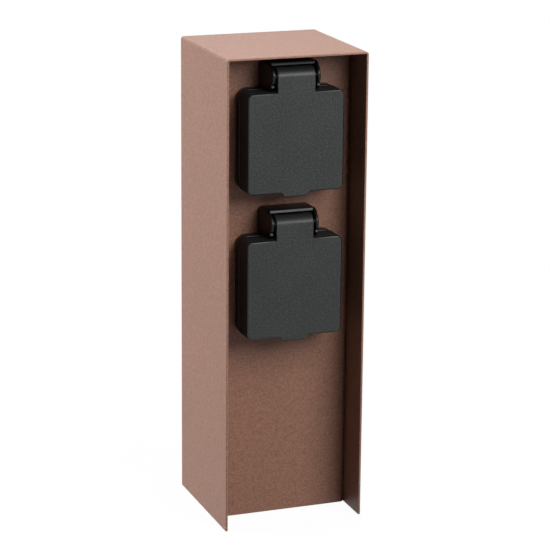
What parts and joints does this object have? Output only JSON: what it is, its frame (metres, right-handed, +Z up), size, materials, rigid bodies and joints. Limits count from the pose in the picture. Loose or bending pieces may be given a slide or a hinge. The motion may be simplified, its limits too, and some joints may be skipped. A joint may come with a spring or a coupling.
{
  "type": "outdoor socket column",
  "caption": "Square folded-sheet garden post with recessed earthed power sockets under sprung hinged lids, base plate, junction box and wiring inside.",
  "frame": {"origin": "on the ground at the middle of the post's footprint", "axes": "+Z up along the post, sockets face -Y, +X to the right seen from the front"},
  "size_m": [0.1, 0.097, 0.3285],
  "materials": {
    "powder_coat": "fine textured matt powder coat, rust brown",
    "steel": "stainless, turned",
    "zinc": "bright zinc plate",
    "spring_steel": "bright spring wire",
    "rubber": "matt",
    "black_plastic": "fine spark-eroded texture, charcoal black",
    "insert_plastic": "smooth, dark grey",
    "grey_plastic": "light grey moulding",
    "pale_plastic": "off-white moulding",
    "brass": "satin",
    "live_insulation": "brown PVC",
    "neutral_insulation": "blue PVC",
    "earth_insulation": "green and yellow PVC"
  },
  "bodies": {
    "post": {"post_hood": "powder_coat", "front_panel": "powder_coat", "rear_cover": "powder_coat", "rear_cover_screws": "steel", "rear_cover_nuts": "zinc", "base_plate": "zinc", "cable_grommet": "rubber", "weld_studs": "zinc", "stud_nuts": "steel", "earth_lug": "brass", "earth_lead": "earth_insulation", "junction_box": "grey_plastic", "junction_gasket": "rubber", "junction_lid": "grey_plastic", "junction_lid_screws": "steel", "gland_bodies": "grey_plastic", "gland_nuts": "grey_plastic", "gland_seals": "rubber", "supply_gland_seal": "rubber", "terminal_block": "pale_plastic", "terminal_screws": "brass", "socket_fixing_screws": "steel", "socket_fixing_nuts": "zinc", "socket_terminal_screws": "steel", "contact_carrier_screws": "steel", "lower_housing": "black_plastic", "lower_flange_gasket": "rubber", "lower_hinge_pin": "steel", "lower_lid_spring": "spring_steel", "lower_insert": "insert_plastic", "lower_contact_carrier": "pale_plastic", "lower_shutter_spring": "spring_steel", "lower_live_contact": "brass", "lower_neutral_contact": "brass", "lower_earth_contact": "brass", "lower_live_lead": "live_insulation", "lower_neutral_lead": "neutral_insulation", "lower_earth_lead": "earth_insulation", "upper_housing": "black_plastic", "upper_flange_gasket": "rubber", "upper_hinge_pin": "steel", "upper_lid_spring": "spring_steel", "upper_insert": "insert_plastic", "upper_contact_carrier": "pale_plastic", "upper_shutter_spring": "spring_steel", "upper_live_contact": "brass", "upper_neutral_contact": "brass", "upper_earth_contact": "brass", "upper_live_lead": "live_insulation", "upper_neutral_lead": "neutral_insulation", "upper_earth_lead": "earth_insulation"},
    "lower_lid": {"lower_lid": "black_plastic", "lower_lid_seal": "rubber"},
    "lower_shutter": {"lower_shutter": "pale_plastic"},
    "upper_lid": {"upper_lid": "black_plastic", "upper_lid_seal": "rubber"},
    "upper_shutter": {"upper_shutter": "pale_plastic"}
  },
  "joints": [
    {"name": "lower_lid_hinge", "type": "hinge", "parent": "post", "child": "lower_lid", "pos_m": [0, -0.0393, 0.2131], "axis": [-1, 0, 0], "range_deg": [0, 105], "stiffness_Nm_per_rad": 0.02, "springref_deg": -34.38, "deforming": ["lower_lid_spring"]},
    {"name": "lower_shutter_slide", "type": "slide", "parent": "post", "child": "lower_shutter", "axis": [0, 0, 1], "range_m": [0, 0.006], "stiffness_N_per_m": 40, "springref_m": -0.003, "deforming": ["lower_shutter_spring"]},
    {"name": "upper_lid_hinge", "type": "hinge", "parent": "post", "child": "upper_lid", "pos_m": [0, -0.0393, 0.3137], "axis": [-1, 0, 0], "range_deg": [0, 105], "stiffness_Nm_per_rad": 0.02, "springref_deg": -34.38, "deforming": ["upper_lid_spring"]},
    {"name": "upper_shutter_slide", "type": "slide", "parent": "post", "child": "upper_shutter", "axis": [0, 0, 1], "range_m": [0, 0.006], "stiffness_N_per_m": 40, "springref_m": -0.003, "deforming": ["upper_shutter_spring"]}
  ]
}
